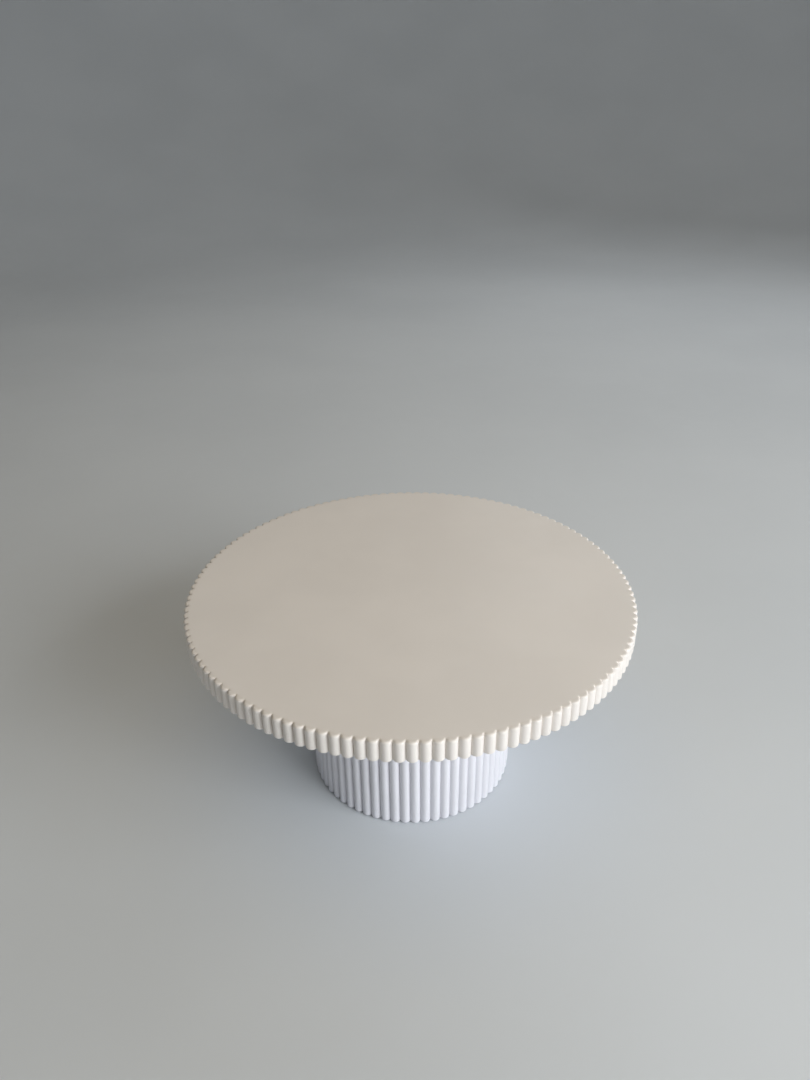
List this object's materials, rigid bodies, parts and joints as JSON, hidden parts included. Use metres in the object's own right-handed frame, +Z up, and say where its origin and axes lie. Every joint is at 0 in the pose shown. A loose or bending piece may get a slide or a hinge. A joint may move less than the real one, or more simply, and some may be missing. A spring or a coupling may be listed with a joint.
{
  "type": "cake turntable",
  "caption": "Round flat platter with a reeded edge that turns freely on a ball bearing over a reeded hollow drum pedestal with rubber feet.",
  "frame": {"origin": "centre of the plane that the four rubber feet rest on", "axes": "+Z up along the axis that the platter turns about; X and Y across, with the glue blocks on the axes"},
  "size_m": [0.3, 0.3, 0.145],
  "materials": {
    "platter_paint": "satin warm-white paint on a solid board",
    "drum_paint": "satin white paint on wood",
    "bare_board": "unpainted board",
    "rubber_foot": "matt",
    "nylon": "natural nylon",
    "brass_insert": "machined",
    "bearing_steel": "zinc-plated and polished"
  },
  "bodies": {
    "base": {"pedestal_drum": "drum_paint", "deck_board": "bare_board", "base_board": "drum_paint", "corner_block_1": "bare_board", "corner_block_2": "bare_board", "corner_block_3": "bare_board", "corner_block_4": "bare_board", "foot_1": "rubber_foot", "foot_2": "rubber_foot", "foot_3": "rubber_foot", "foot_4": "rubber_foot", "spindle_bush": "nylon", "lower_race": "bearing_steel", "deck_screw_1": "bearing_steel", "deck_screw_2": "bearing_steel", "deck_screw_3": "bearing_steel", "deck_screw_4": "bearing_steel", "base_screw_1": "bearing_steel", "base_screw_2": "bearing_steel", "base_screw_3": "bearing_steel", "base_screw_4": "bearing_steel", "lower_race_screw_1": "bearing_steel", "lower_race_screw_2": "bearing_steel", "lower_race_screw_3": "bearing_steel", "lower_race_screw_4": "bearing_steel"},
    "platter": {"platter": "platter_paint", "upper_race": "bearing_steel", "upper_race_screw_1": "bearing_steel", "upper_race_screw_2": "bearing_steel", "upper_race_screw_3": "bearing_steel", "upper_race_screw_4": "bearing_steel", "spindle": "bearing_steel", "threaded_insert": "brass_insert", "retaining_washer": "bearing_steel", "retaining_clip": "bearing_steel"},
    "cage": {"ball_cage": "nylon", "ball_1": "bearing_steel", "ball_2": "bearing_steel", "ball_3": "bearing_steel", "ball_4": "bearing_steel", "ball_5": "bearing_steel", "ball_6": "bearing_steel", "ball_7": "bearing_steel", "ball_8": "bearing_steel", "ball_9": "bearing_steel", "ball_10": "bearing_steel", "ball_11": "bearing_steel", "ball_12": "bearing_steel"}
  },
  "joints": [
    {"name": "platter_spin", "type": "hinge", "parent": "base", "child": "platter", "pos_m": [0, 0, 0.1255], "axis": [0, 0, 1], "continuous": true},
    {"name": "cage_spin", "type": "hinge", "parent": "base", "child": "cage", "pos_m": [0, 0, 0.1255], "axis": [0, 0, 1], "continuous": true}
  ],
  "couplings": [
    {"joint": "cage_spin", "follows": "platter_spin", "ratio": 0.5}
  ]
}
